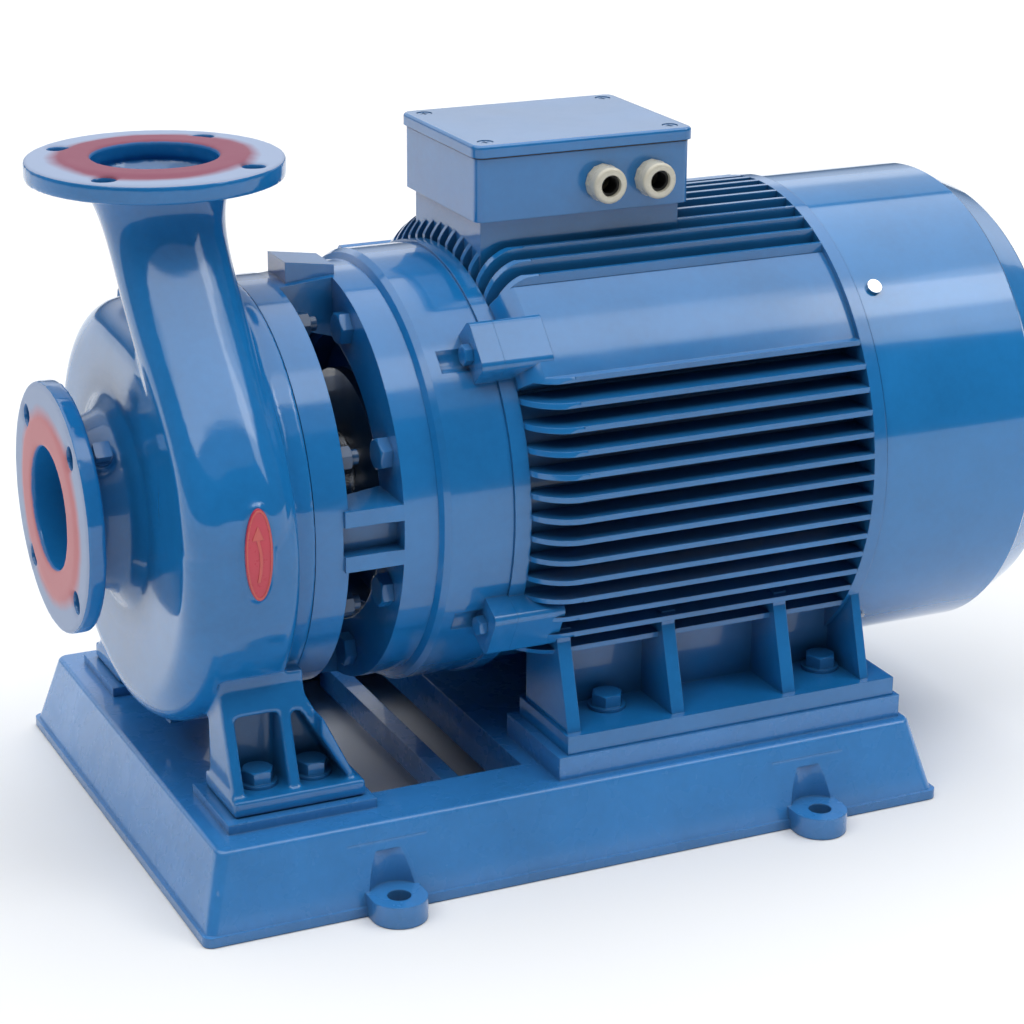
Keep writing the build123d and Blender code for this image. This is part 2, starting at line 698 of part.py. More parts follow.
with BuildPart() as drive_end_shield:
    corner_lugs((SHIELD_LUG_X, FRAME_X[0]))
    turn([
        (LANTERN_X[3] - 5, 115),
        (LANTERN_X[3] - 5, MOTOR_SPIGOT),
        (LANTERN_X[3], MOTOR_SPIGOT),
        (LANTERN_X[3], LANTERN_RIM),
        (LANTERN_X[3] + 3, SHIELD_RADIUS - 3),
        (LANTERN_X[3] + 8, SHIELD_RADIUS),
        (FRAME_X[0], SHIELD_RADIUS),
        (FRAME_X[0], FRAME_BORE),
        (FRAME_X[0] + 10, FRAME_BORE),
        (FRAME_X[0] + 10, 152),
        (-98, 152),
        (-98, 82),
        (-90, 82),
        (-90, BEARING_OUTSIDE),
        (-130, BEARING_OUTSIDE),
        (-130, 84),
        (-112, 84),
        (-112, 115),
    ])
    circle_of_pins(LANTERN_X[3], 18, LANTERN_BOLT / 2, LANTERN_BOLT_CIRCLE, 8, 22.5, mode=Mode.SUBTRACT)
    corner_pins(SHIELD_LUG_X, FRAME_X[0] - SHIELD_LUG_X, 5.5, mode=Mode.SUBTRACT)
    corner_pins(SHIELD_LUG_X - 24, 24, 13, mode=Mode.SUBTRACT)
save(drive_end_shield, "drive_end_shield")

with BuildPart() as fan_end_shield:
    turn([
        (256, 150),
        (256, FRAME_BORE),
        (FRAME_X[1], FRAME_BORE),
        (FRAME_X[1], COWL_RADIUS - COWL_SHEET - 0.5),
        (292, COWL_RADIUS - COWL_SHEET - 0.5),
        (292, 84),
        (322, 84),
        (322, BEARING_OUTSIDE),
        (282, BEARING_OUTSIDE),
        (282, 150),
    ])
    circle_of_pins(FRAME_X[1], 28, 5.5, 180, 4, 45, mode=Mode.SUBTRACT)
    for screw in range(4):
        angle = radians(45 + 90 * screw)
        start = (COWL_SCREW_X, 190 * cos(angle), AXIS_Z + 190 * sin(angle))
        with BuildSketch(Plane(origin=start, z_dir=(0, cos(angle), sin(angle)))) as screw_hole:
            Circle(3)
        extrude(screw_hole.sketch, amount=20, mode=Mode.SUBTRACT)
save(fan_end_shield, "fan_end_shield")

with BuildPart() as drive_end_outer_cap:
    turn([(-125.5, 56), (-125.5, 65), (-130, 65), (-130, 84), (-139, 84), (-139, 30.6), (-131, 30.6), (-131, 56)])
save(drive_end_outer_cap, "drive_end_outer_cap")

with BuildPart() as drive_end_inner_cap:
    turn([(-94.5, 56), (-94.5, 65), (-90, 65), (-90, 82), (-82, 82), (-82, 38.5), (-89, 38.5), (-89, 56)])
save(drive_end_inner_cap, "drive_end_inner_cap")

with BuildPart() as fan_end_inner_cap:
    turn([(290, 56), (290, 65), (282, 65), (282, 82), (274, 82), (274, 38.5), (281, 38.5), (281, 56)])
save(fan_end_inner_cap, "fan_end_inner_cap")

with BuildPart() as fan_end_outer_cap:
    turn([(321, 56), (321, 65), (322, 65), (322, 84), (330, 84), (330, 24.6), (323, 24.6), (323, 56)])
save(fan_end_outer_cap, "fan_end_outer_cap")


def ball_groove(x):
    """Ring-shaped space for the balls, cut from a bearing race."""
    with BuildSketch(LENGTHWISE) as groove:
        with Locations((x, BALL_CIRCLE)):
            Circle(BALL_RADIUS + BALL_GAP)
    revolve(groove.sketch, axis=SHAFT_AXIS, mode=Mode.SUBTRACT)


def ball_centres(x):
    """Centres of the balls of a bearing."""
    centres = []
    for ball in range(BALL_COUNT):
        angle = radians(360 * ball / BALL_COUNT)
        centres.append((x, BALL_CIRCLE * cos(angle), AXIS_Z + BALL_CIRCLE * sin(angle)))
    return centres


for bearing_name, bearing_x in (("drive_end", DRIVE_BEARING_X), ("fan_end", FAN_BEARING_X)):
    race_start = bearing_x - BEARING_WIDTH / 2
    race_end = bearing_x + BEARING_WIDTH / 2
    with BuildPart() as outer_race:
        ring(race_start, race_end, 55.5, BEARING_OUTSIDE)
        ball_groove(bearing_x)
    save(outer_race, f"{bearing_name}_outer_race")
    with BuildPart() as inner_race:
        ring(race_start, race_end, BEARING_BORE, 40.5)
        ball_groove(bearing_x)
    save(inner_race, f"{bearing_name}_inner_race")
    with BuildPart() as balls:
        with Locations(*ball_centres(bearing_x)):
            Sphere(BALL_RADIUS)
    save(balls, f"{bearing_name}_balls")
    with BuildPart() as cage:
        ring(bearing_x - 13.5, bearing_x + 13.5, 46.5, 49.5)
        with Locations(*ball_centres(bearing_x)):
            Sphere(BALL_RADIUS + 0.1, mode=Mode.SUBTRACT)
    save(cage, f"{bearing_name}_cage")

# ---- Rotor -----------------------------------------------------------------------------

with BuildPart() as shaft:
    turn([
        (-316, 0),
        (-316, 10),
        (-300, 10),
        (-300, 16),
        (-262, 16),
        (-262, 19.5),
        (-206, 19.5),
        (-206, 26),
        (-140, 26),
        (-140, BEARING_BORE),
        (-94.5, BEARING_BORE),
        (-94.5, 36),
        (-10, 36),
        (-10, 40),
        (195, 40),
        (195, 36),
        (290, 36),
        (290, BEARING_BORE),
        (321.5, BEARING_BORE),
        (321.5, 24),
        (398, 24),
        (398, 0),
    ])
    block((-296, -266), (-2.5, 2.5), (AXIS_Z + 13, AXIS_Z + 20), mode=Mode.SUBTRACT)
    block((344, 380), (-4, 4), (AXIS_Z + 19, AXIS_Z + 26), mode=Mode.SUBTRACT)
    ring(391, 393, 22, 26, mode=Mode.SUBTRACT)
save(shaft, "shaft")

with BuildPart() as rotor_core:
    ring(CORE_X[0], CORE_X[1], 40, ROTOR_RADIUS)
save(rotor_core, "rotor_core")

with BuildPart() as rotor_cage:
    ring(CORE_X[0] - 14, CORE_X[0], 66, 103)
    ring(CORE_X[1], CORE_X[1] + 14, 66, 103)
    for end_x, reach in ((CORE_X[0] - 30, 17), (CORE_X[1] + 13, 17)):
        with BuildSketch(across(end_x)) as cage_blades:
            with PolarLocations(86, 10):
                Rectangle(26, 5)
        extrude(cage_blades.sketch, amount=reach)
save(rotor_cage, "rotor_cage")

with BuildPart() as fan:
    turn([(340, 24), (340, 40), (346, 42), (346, FAN_RADIUS), (350, FAN_RADIUS), (354, 42), (388, 36), (388, 24)])
    with BuildSketch(across(349)) as blades:
        with PolarLocations(108, FAN_BLADES):
            Rectangle(106, 4.5)
    extrude(blades.sketch, amount=50)
    turn([(340, 24), (340, 60), (346, FAN_RADIUS), (392, FAN_RADIUS), (396, 60), (388, 24)], mode=Mode.INTERSECT)
    block((339, 389), (-4, 4), (AXIS_Z, AXIS_Z + 28), mode=Mode.SUBTRACT)
save(fan, "fan")

with BuildPart() as fan_key:
    block((344, 380), (-4, 4), (AXIS_Z + 19, AXIS_Z + 28))
save(fan_key, "fan_key")

with BuildPart() as fan_circlip:
    ring(391, 393, 22, 29)
    block((390, 394), (-5, 5), (AXIS_Z - 32, AXIS_Z - 15), mode=Mode.SUBTRACT)
save(fan_circlip, "fan_circlip")

# ---- Stator and frame ----------------------------------------------------------------------

with BuildPart() as stator_core:
    ring(CORE_X[0], CORE_X[1], STATOR_BORE, FRAME_BORE)
save(stator_core, "stator_core")

with BuildPart() as stator_winding:
    for start_x, end_x in ((CORE_X[0] - 44, CORE_X[0]), (CORE_X[1], CORE_X[1] + 44)):
        turn([(start_x, 122), (start_x, 148), (end_x, 152), (end_x, 114)])
save(stator_winding, "stator_winding")


def fin_section():
    """Section of the finned frame, square to the shaft."""
    low, high = (radians(angle) for angle in PANEL_ANGLES)
    middle = (low + high) / 2
    with BuildSketch(across(FIN_X[0])) as section:
        Circle(FRAME_WALL_RADIUS)
        for row in range(SIDE_FIN_COUNT):
            height = SIDE_FIN_LOWEST + SIDE_FIN_PITCH * row
            root = sqrt((FRAME_WALL_RADIUS - 8) ** 2 - height**2)
            tip = sqrt(FIN_ENVELOPE**2 - height**2)
            with Locations(((root + tip) / 2, height), (-(root + tip) / 2, height)):
                Rectangle(tip - root, FIN_THICK)
        for row in range(TOP_FIN_COUNT):
            across_y = TOP_FIN_PITCH * (row - (TOP_FIN_COUNT - 1) / 2)
            root = sqrt((FRAME_WALL_RADIUS - 8) ** 2 - across_y**2)
            tip = sqrt(FIN_ENVELOPE**2 - across_y**2)
            with Locations((across_y, (root + tip) / 2)):
                Rectangle(FIN_THICK, tip - root)
        # Smooth shoulders between the side fins and the top fins
        for side in (-1, 1):
            start = (side * PANEL_RADIUS * cos(low), PANEL_RADIUS * sin(low))
            crown = (side * PANEL_RADIUS * cos(middle), PANEL_RADIUS * sin(middle))
            end = (side * PANEL_RADIUS * cos(high), PANEL_RADIUS * sin(high))
            with BuildLine():
                Line((0, 0), start)
                ThreePointArc(start, crown, end)
                Line(end, (0, 0))
            make_face()
    return section.sketch


def motor_foot(side):
    """Foot plate with its ribbed pedestal on one side of the motor."""
    foot_top = MOTOR_FOOT_Z + MOTOR_FOOT_THICK
    x0, x1 = MOTOR_FOOT_X
    y_in, y_out = MOTOR_FOOT_Y
    block(MOTOR_FOOT_X, sorted((side * y_in, side * y_out)), (MOTOR_FOOT_Z, foot_top))
    block((x0 + 3, FRAME_X[1]), sorted((side * (y_in + 6), side * (y_out - 7))), (foot_top, AXIS_Z - 100))


with BuildPart() as motor_pedestals:
    for side in (-1, 1):
        motor_foot(side)
        foot_top = MOTOR_FOOT_Z + MOTOR_FOOT_THICK
        # Recesses leave a web and four ribs under the frame
        for bay in ((-10, 74), (86, 180), (192, 256)):
            bay_y = sorted((side * 142, side * 210))
            block(bay, bay_y, (foot_top, AXIS_Z - 100), mode=Mode.SUBTRACT)
        slanted_cut(side, (MOTOR_FOOT_X[0] - 5, MOTOR_FOOT_X[1] + 5), (198, foot_top), (176, AXIS_Z - 112))

with BuildPart() as motor_frame:
    extrude(fin_section(), amount=FIN_X[1] - FIN_X[0])
    # Fins are drawn in at the drive end
    with BuildSketch(LENGTHWISE) as trim:
        with BuildLine():
            Polyline((FIN_X[0], 187), (FIN_X[0], 240), (FIN_X[0] + 40, 240), (FIN_X[0] + 40, FIN_ENVELOPE))
            ThreePointArc((FIN_X[0] + 40, FIN_ENVELOPE), (FIN_X[0] + 13, 203), (FIN_X[0], 187))
        make_face()
    revolve(trim.sketch, axis=SHAFT_AXIS, mode=Mode.SUBTRACT)
    add(motor_pedestals.part)
    # End rings and corner lugs
    ring(FRAME_X[0], FIN_X[0], FRAME_BORE, FRAME_RING)
    ring(FIN_X[1], FRAME_X[1], FRAME_BORE, FIN_ENVELOPE)
    corner_lugs((FRAME_X[0], FRAME_X[0] + 42))
    # Seat of the terminal box
    block((BOX_X[0] + 7, BOX_X[1] - 6), (-66, 66), (AXIS_Z + 170, BOX_Z[0]))
    ring(FRAME_X[0], FRAME_X[1], 0, FRAME_BORE, mode=Mode.SUBTRACT)
    with BuildSketch(Plane.XY.offset(BOX_Z[0])) as lead_hole:
        with Locations(((BOX_X[0] + BOX_X[1]) / 2, 0)):
            Circle(28)
    extrude(lead_hole.sketch, amount=-80, mode=Mode.SUBTRACT)
    with BuildSketch(Plane.XY.offset(MOTOR_FOOT_Z)) as motor_foot_holes:
        with Locations(*four_spots(MOTOR_BOLT_X, MOTOR_BOLT_Y)):
            Circle(FOOT_HOLE)
    extrude(motor_foot_holes.sketch, amount=MOTOR_FOOT_THICK, mode=Mode.SUBTRACT)
    corner_pins(FRAME_X[0], 30, 5, mode=Mode.SUBTRACT)
    circle_of_pins(FRAME_X[1], -24, 5, 180, 4, 45, mode=Mode.SUBTRACT)
save(motor_frame, "motor_frame")

with BuildPart() as drive_end_shield_bolts:
    circle_of_hexes(SHIELD_LUG_X - 7, 7, 10, LUG_BOLT_CIRCLE, LUG_ANGLES, crown_down=True)
    corner_pins(SHIELD_LUG_X, 48, 5)
save(drive_end_shield_bolts, "drive_end_shield_bolts")

with BuildPart() as fan_end_shield_bolts:
    circle_of_hexes(292, 7, 10, 180, (45, 135, 225, 315))
    circle_of_pins(292, -50, 5, 180, 4, 45)
save(fan_end_shield_bolts, "fan_end_shield_bolts")

with BuildPart() as motor_foot_bolts:
    upright_bolts(four_spots(MOTOR_BOLT_X, MOTOR_BOLT_Y), MOTOR_FOOT_Z + MOTOR_FOOT_THICK, FOOT_BOLT, 48)
save(motor_foot_bolts, "motor_foot_bolts")

with BuildPart() as pump_foot_bolts:
    upright_bolts(four_spots(PUMP_BOLT_X, PUMP_BOLT_Y), PUMP_FOOT_Z + PUMP_FOOT_THICK, FOOT_BOLT, 34)
save(pump_foot_bolts, "pump_foot_bolts")

# ---- Fan cowl -----------------------------------------------------------------------------------

with BuildPart() as fan_cowl:
    with BuildSketch(LENGTHWISE) as cowl_profile:
        with BuildLine():
            Polyline(
                (COWL_X[0], 0),
                (COWL_X[0], COWL_RADIUS),
                (COWL_X[1], COWL_RADIUS),
                (COWL_X[1] + 3, COWL_STEP_RADIUS),
                (COWL_X[2], COWL_END_RADIUS),
                (COWL_X[3], 168),
                (COWL_X[3], 0),
                close=True,
            )
        make_face()
    revolve(cowl_profile.sketch, axis=SHAFT_AXIS)
    fillet(fan_cowl.edges().filter_by(GeomType.CIRCLE).sort_by(Axis.X)[3:], radius=8)
    open_end = fan_cowl.faces().sort_by(Axis.X)[0]
    offset(amount=-COWL_SHEET, openings=open_end)
    # Air slots in the end, in rings broken by eight spokes
    with BuildSketch(across(COWL_X[3] - 6)) as slots:
        for inner in (137, 118, 99, 80, 61, 42):
            Circle(inner + 12)
            Circle(inner, mode=Mode.SUBTRACT)
        with PolarLocations(0, 4):
            Rectangle(400, 9, mode=Mode.SUBTRACT)
    extrude(slots.sketch, amount=12, mode=Mode.SUBTRACT)
    for screw in range(4):
        angle = radians(45 + 90 * screw)
        start = (COWL_SCREW_X, 190 * cos(angle), AXIS_Z + 190 * sin(angle))
        with BuildSketch(Plane(origin=start, z_dir=(0, cos(angle), sin(angle)))) as screw_hole:
            Circle(3)
        extrude(screw_hole.sketch, amount=30, mode=Mode.SUBTRACT)
save(fan_cowl, "fan_cowl")

with BuildPart() as cowl_screws:
    for screw in range(4):
        angle = radians(45 + 90 * screw)
        outward = (0, cos(angle), sin(angle))
        seat = (COWL_SCREW_X, COWL_RADIUS * cos(angle), AXIS_Z + COWL_RADIUS * sin(angle))
        with BuildSketch(Plane(origin=seat, z_dir=outward)) as screw_head:
            Circle(6.5)
        extrude(screw_head.sketch, amount=3.2)
        with BuildSketch(Plane(origin=seat, z_dir=outward)) as screw_shank:
            Circle(3)
        extrude(screw_shank.sketch, amount=-16)
save(cowl_screws, "cowl_screws")

# ---- Terminal box ----------------------------------------------------------------------------------

box_middle = ((BOX_X[0] + BOX_X[1]) / 2, 0)
box_length = BOX_X[1] - BOX_X[0]


def box_outline(z, grow, corner):
    """Terminal box outline at height z."""
    with BuildSketch(Plane.XY.offset(z)) as face:
        with Locations(box_middle):
            RectangleRounded(box_length + 2 * grow, BOX_WIDTH + 2 * grow, corner)
    return face.sketch


lid_screw_spots = [
    (box_middle[0] + sx * (box_length / 2 - 13), sy * (BOX_WIDTH / 2 - 13)) for sx in (-1, 1) for sy in (-1, 1)
]

with BuildPart() as terminal_box:
    extrude(box_outline(BOX_Z[0], 0, 7), amount=BOX_Z[1] - BOX_Z[0])
    extrude(box_outline(BOX_Z[0] + BOX_WALL, -BOX_WALL, 4), amount=BOX_Z[1] - BOX_Z[0] - BOX_WALL,
            mode=Mode.SUBTRACT)
    with BuildSketch(Plane.XY.offset(BOX_Z[0])) as screw_posts:
        with Locations(*lid_screw_spots):
            Circle(7.5)
    extrude(screw_posts.sketch, amount=BOX_Z[1] - BOX_Z[0])
    with BuildSketch(Plane.XY.offset(BOX_Z[0])) as box_holes:
        with Locations(box_middle):
            Circle(28)
    extrude(box_holes.sketch, amount=BOX_WALL, mode=Mode.SUBTRACT)
    with BuildSketch(Plane.XY.offset(BOX_Z[1])) as post_taps:
        with Locations(*lid_screw_spots):
            Circle(3)
    extrude(post_taps.sketch, amount=-24, mode=Mode.SUBTRACT)
    with BuildSketch(upright(-BOX_WIDTH / 2)) as gland_holes:
        with Locations(*[(x, GLAND_Z) for x in GLAND_X]):
            Circle(GLAND_THREAD)
    extrude(gland_holes.sketch, amount=-BOX_WALL, mode=Mode.SUBTRACT)
save(terminal_box, "terminal_box")

with BuildPart() as lid_gasket:
    extrude(box_outline(BOX_Z[1], 0, 7), amount=BOX_Z[2] - BOX_Z[1])
    extrude(box_outline(BOX_Z[1], -5, 4), amount=BOX_Z[2] - BOX_Z[1], mode=Mode.SUBTRACT)
save(lid_gasket, "lid_gasket")

with BuildPart() as terminal_lid:
    extrude(box_outline(BOX_Z[2], 2.5, 9), amount=BOX_Z[3] - BOX_Z[2])
    fillet(terminal_lid.edges().group_by(Axis.Z)[-1], radius=3)
    with BuildSketch(Plane.XY.offset(BOX_Z[2])) as lid_holes:
        with Locations(*lid_screw_spots):
            Circle(3.4)
    extrude(lid_holes.sketch, amount=BOX_Z[3] - BOX_Z[2], mode=Mode.SUBTRACT)
    with BuildSketch(Plane.XY.offset(BOX_Z[3])) as screw_recesses:
        with Locations(*lid_screw_spots):
            Circle(LID_SCREW_HEAD + 0.6)
    extrude(screw_recesses.sketch, amount=-LID_RECESS, mode=Mode.SUBTRACT)
save(terminal_lid, "terminal_lid")

with BuildPart() as lid_screws:
    for start_z, length, screw_radius in (
        (BOX_Z[3] - 30, 30 - LID_RECESS, 3.0),
        (BOX_Z[3] - LID_RECESS, LID_RECESS - 0.5, LID_SCREW_HEAD),
    ):
        with BuildSketch(Plane.XY.offset(start_z)) as screw_part:
            with Locations(*lid_screw_spots):
                Circle(screw_radius)
        extrude(screw_part.sketch, amount=length)
    with BuildSketch(Plane.XY.offset(BOX_Z[3] - 0.5)) as cross_slots:
        with Locations(*lid_screw_spots):
            Rectangle(7, 1.4)
            Rectangle(1.4, 7)
    extrude(cross_slots.sketch, amount=-1.6, mode=Mode.SUBTRACT)
save(lid_screws, "lid_screws")

with BuildPart() as terminal_board:
    block((box_middle[0] - 45, box_middle[0] + 45), (-12, 48), (BOX_Z[0] + BOX_WALL, BOX_Z[0] + 18))
save(terminal_board, "terminal_board")

with BuildPart() as terminal_studs:
    stud_spots = [(box_middle[0] + 28 * column, 4 + 28 * row) for column in (-1, 0, 1) for row in (0, 1)]
    with BuildSketch(Plane.XY.offset(BOX_Z[0] + 18)) as stud_nuts:
        with Locations(*stud_spots):
            RegularPolygon(6.5, 6)
    extrude(stud_nuts.sketch, amount=5)
    with BuildSketch(Plane.XY.offset(BOX_Z[0] + 23)) as stud_tips:
        with Locations(*stud_spots):
            Circle(3)
    extrude(stud_tips.sketch, amount=14)
save(terminal_studs, "terminal_studs")


def gland_plane(x, reach):
    """Plane square to a cable gland, reach outwards from the box wall."""
    return Plane(origin=(x, -BOX_WIDTH / 2 - reach, GLAND_Z), x_dir=(1, 0, 0), z_dir=(0, -1, 0))


with BuildPart() as gland_bodies:
    for x in GLAND_X:
        with BuildSketch(gland_plane(x, 0)) as body_hex:
            RegularPolygon(GLAND_RADIUS, 12)
        extrude(body_hex.sketch, amount=6)
        with BuildSketch(gland_plane(x, -BOX_WALL - 8)) as sleeve:
            Circle(GLAND_THREAD)
        extrude(sleeve.sketch, amount=BOX_WALL + 8)
        with BuildSketch(gland_plane(x, 6)) as collar:
            Circle(GLAND_THREAD)
        extrude(collar.sketch, amount=7)
        with BuildSketch(gland_plane(x, -BOX_WALL - 8)) as way:
            Circle(CABLE_RADIUS + 3)
        extrude(way.sketch, amount=BOX_WALL + 21, mode=Mode.SUBTRACT)
save(gland_bodies, "gland_bodies")

with BuildPart() as gland_locknuts:
    for x in GLAND_X:
        with BuildSketch(gland_plane(x, -BOX_WALL)) as locknut:
            RegularPolygon(GLAND_THREAD + 2.5, 6)
            Circle(GLAND_THREAD, mode=Mode.SUBTRACT)
        extrude(locknut.sketch, amount=-4)
save(gland_locknuts, "gland_locknuts")

with BuildPart() as gland_seals:
    for x in GLAND_X:
        with BuildSketch(gland_plane(x, -2)) as seal_face:
            Circle(CABLE_RADIUS + 3)
            Circle(CABLE_RADIUS, mode=Mode.SUBTRACT)
        extrude(seal_face.sketch, amount=15)
save(gland_seals, "gland_seals")

with BuildPart() as gland_caps:
    for x in GLAND_X:
        with BuildSketch(gland_plane(x, 6)) as cap_face:
            Circle(GLAND_RADIUS - 0.5)
            Circle(GLAND_THREAD, mode=Mode.SUBTRACT)
        extrude(cap_face.sketch, amount=7)
        with BuildSketch(gland_plane(x, 13)) as cap_end:
            Circle(GLAND_RADIUS - 0.5)
            Circle(CABLE_RADIUS + 2, mode=Mode.SUBTRACT)
        extrude(cap_end.sketch, amount=4)
    cap_rims = gland_caps.edges().filter_by(GeomType.CIRCLE).group_by(Axis.Y)[0]
    fillet(cap_rims.filter_by(lambda rim: rim.radius > GLAND_THREAD), radius=3)
save(gland_caps, "gland_caps")
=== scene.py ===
import json
import math

import bmesh
import bpy
from mathutils import Matrix, Vector


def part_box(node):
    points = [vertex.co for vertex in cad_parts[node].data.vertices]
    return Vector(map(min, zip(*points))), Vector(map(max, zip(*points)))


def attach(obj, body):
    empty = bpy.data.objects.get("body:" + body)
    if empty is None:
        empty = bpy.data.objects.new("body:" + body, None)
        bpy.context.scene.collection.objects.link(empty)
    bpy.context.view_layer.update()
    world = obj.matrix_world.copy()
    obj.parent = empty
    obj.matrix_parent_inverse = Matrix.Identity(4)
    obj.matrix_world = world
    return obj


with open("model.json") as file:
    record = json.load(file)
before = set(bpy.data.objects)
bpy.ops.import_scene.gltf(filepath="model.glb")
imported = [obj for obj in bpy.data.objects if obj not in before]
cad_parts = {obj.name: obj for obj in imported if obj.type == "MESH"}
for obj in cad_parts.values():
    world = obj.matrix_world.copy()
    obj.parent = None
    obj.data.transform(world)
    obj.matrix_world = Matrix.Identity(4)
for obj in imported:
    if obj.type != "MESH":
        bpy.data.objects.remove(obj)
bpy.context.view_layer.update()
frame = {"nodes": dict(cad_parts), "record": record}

scene = bpy.context.scene
scene.view_settings.view_transform = "Standard"
scene.view_settings.look = "None"

# ---- Places on the pump, in metres --------------------------------------------------

mounts = {mount["name"]: mount for mount in frame["record"]["mounts"]}
SHAFT_Z = mounts["suction_port"]["pos_m"][2]
SUCTION_FACE_X = mounts["suction_face"]["pos_m"][0]
DISCHARGE_X = mounts["discharge_port"]["pos_m"][0]
DISCHARGE_FACE_Z = mounts["discharge_face"]["pos_m"][2]
NECK_Z = (SHAFT_Z + DISCHARGE_FACE_Z) / 2  # the suction flange lies below it, the other above
plate_low, plate_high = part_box("direction_plate")
plate_middle = (plate_low + plate_high) / 2
PLATE_FACE = Vector((plate_middle.x, plate_low.y, plate_middle.z))

# ---- Camera --------------------------------------------------------------------------

VIEW_ANGLES = (-25.16, 19.61, 0.44)  # azimuth, elevation and roll in degrees
CAMERA_PLACE = (-0.9607, -2.0859, 1.0488)
LENS = 99.24  # mm, with a sensor 36 mm wide


def make_camera():
    """Long lens looking down on the suction end and the near side."""
    azimuth, elevation, roll = (math.radians(angle) for angle in VIEW_ANGLES)
    back = Vector((
        math.sin(azimuth) * math.cos(elevation),
        -math.cos(azimuth) * math.cos(elevation),
        math.sin(elevation),
    ))
    right = Vector((math.cos(azimuth), math.sin(azimuth), 0.0))
    up = back.cross(right)
    rolled_right = right * math.cos(roll) + up * math.sin(roll)
    rolled_up = up * math.cos(roll) - right * math.sin(roll)
    data = bpy.data.cameras.new("camera")
    data.lens = LENS
    data.sensor_width = 36.0
    data.clip_start = 0.05
    data.clip_end = 60.0
    camera = bpy.data.objects.new("camera", data)
    turn = Matrix((rolled_right, rolled_up, back)).transposed()
    camera.matrix_world = Matrix.Translation(CAMERA_PLACE) @ turn.to_4x4()
    scene.collection.objects.link(camera)
    scene.camera = camera


make_camera()

# ---- Node helpers --------------------------------------------------------------------


class Shade:
    """One node material, with its pattern in metres on the object."""

    def __init__(self, name):
        self.material = bpy.data.materials.new(name)
        self.material.use_nodes = True
        self.tree = self.material.node_tree
        self.tree.nodes.clear()
        self.out = self.tree.nodes.new("ShaderNodeOutputMaterial")
        self.coords = self.tree.nodes.new("ShaderNodeTexCoord").outputs["Object"]

    def node(self, kind, values=(), **settings):
        """New node with its sockets and its settings filled in."""
        made = self.tree.nodes.new(kind)
        for key, value in settings.items():
            setattr(made, key, value)
        for key, value in dict(values).items():
            self.put(made.inputs[key], value)
        return made

    def put(self, socket, value):
        """Link a socket to another node, or set its value."""
        if isinstance(value, bpy.types.NodeSocket):
            self.tree.links.new(value, socket)
        else:
            socket.default_value = value

    def noise(self, scale, detail, rough, stretch=None):
        """Cloudy pattern, drawn out along the axes if it is stretched."""
        coords = self.coords
        if stretch:
            mapping = self.node("ShaderNodeMapping", {"Vector": coords, "Scale": stretch})
            coords = mapping.outputs["Vector"]
        values = {"Vector": coords, "Scale": scale, "Detail": detail, "Roughness": rough}
        return self.node("ShaderNodeTexNoise", values).outputs["Fac"]

    def ramp(self, fac, low, high, a=0.0, b=1.0):
        """Value going from a to b while the factor goes from low to high."""
        values = {"Value": fac, "From Min": low, "From Max": high, "To Min": a, "To Max": b}
        return self.node("ShaderNodeMapRange", values).outputs["Result"]

    def maths(self, operation, a, b=0.0):
        made = self.node("ShaderNodeMath", operation=operation)
        self.put(made.inputs[0], a)
        self.put(made.inputs[1], b)
        return made.outputs[0]

    def mix(self, fac, a, b):
        made = self.node("ShaderNodeMix", data_type="RGBA")
        self.put(made.inputs[0], fac)
        self.put(made.inputs[6], a)
        self.put(made.inputs[7], b)
        return made.outputs[2]

    def bump(self, height, distance, strength, normal):
        values = {"Height": height, "Distance": distance, "Strength": strength, "Normal": normal}
        return self.node("ShaderNodeBump", values).outputs["Normal"]

    def rounded(self, radius):
        """Normal that rounds off the edges of a piece."""
        return self.node("ShaderNodeBevel", {"Radius": radius}, samples=4).outputs["Normal"]

    def finish(self, **sockets):
        shader = self.node("ShaderNodeBsdfPrincipled")
        for key, value in sockets.items():
            self.put(shader.inputs[key.replace("_", " ")], value)
        self.tree.links.new(shader.outputs[0], self.out.inputs["Surface"])
        return self.material


def colour(r, g, b):
    return (r, g, b, 1.0)


def tone(base, factor):
    """A base colour made darker or lighter."""
    return colour(*[min(1.0, channel * factor) for channel in base])


# ---- Materials -------------------------------------------------------------------------

BLUE = (0.011, 0.165, 0.440)
SHEET_BLUE = (0.012, 0.185, 0.480)
# Lighter copy of the blue for the bedplate: partly chalkier paint, partly painted light for the light
# bounced up from the floor
BEDPLATE_BLUE = (0.035, 0.215, 0.540)
# Painted shade: dark copy of the blue for parts that sit in shade behind the lantern windows
PAINTED_SHADE_BLUE = (0.006, 0.045, 0.120)
PRIMER = colour(0.55, 0.21, 0.23)
# Painted shade: a darker copy of the primer, used on the discharge face
SHADED_PRIMER = colour(0.25, 0.060, 0.110)
OVERSPRAY = colour(0.32, 0.40, 0.57)
SHADE_AND_DUST_REACH = 0.05  # painted shade with some dirt darkens the paint, and dust dulls it, where another wall stands nearer than this
WAVE_DEPTH = 0.0012
PEEL_DEPTH = 0.00005
FACE_DEPTH = 0.0035  # the primer reaches this far behind each flange face
PORT_EDGE = (0.0505, 0.0515)  # radii between which paint changes into primer
PRIMER_EDGE = (0.076, 0.086)  # radii between which primer fades into overspray


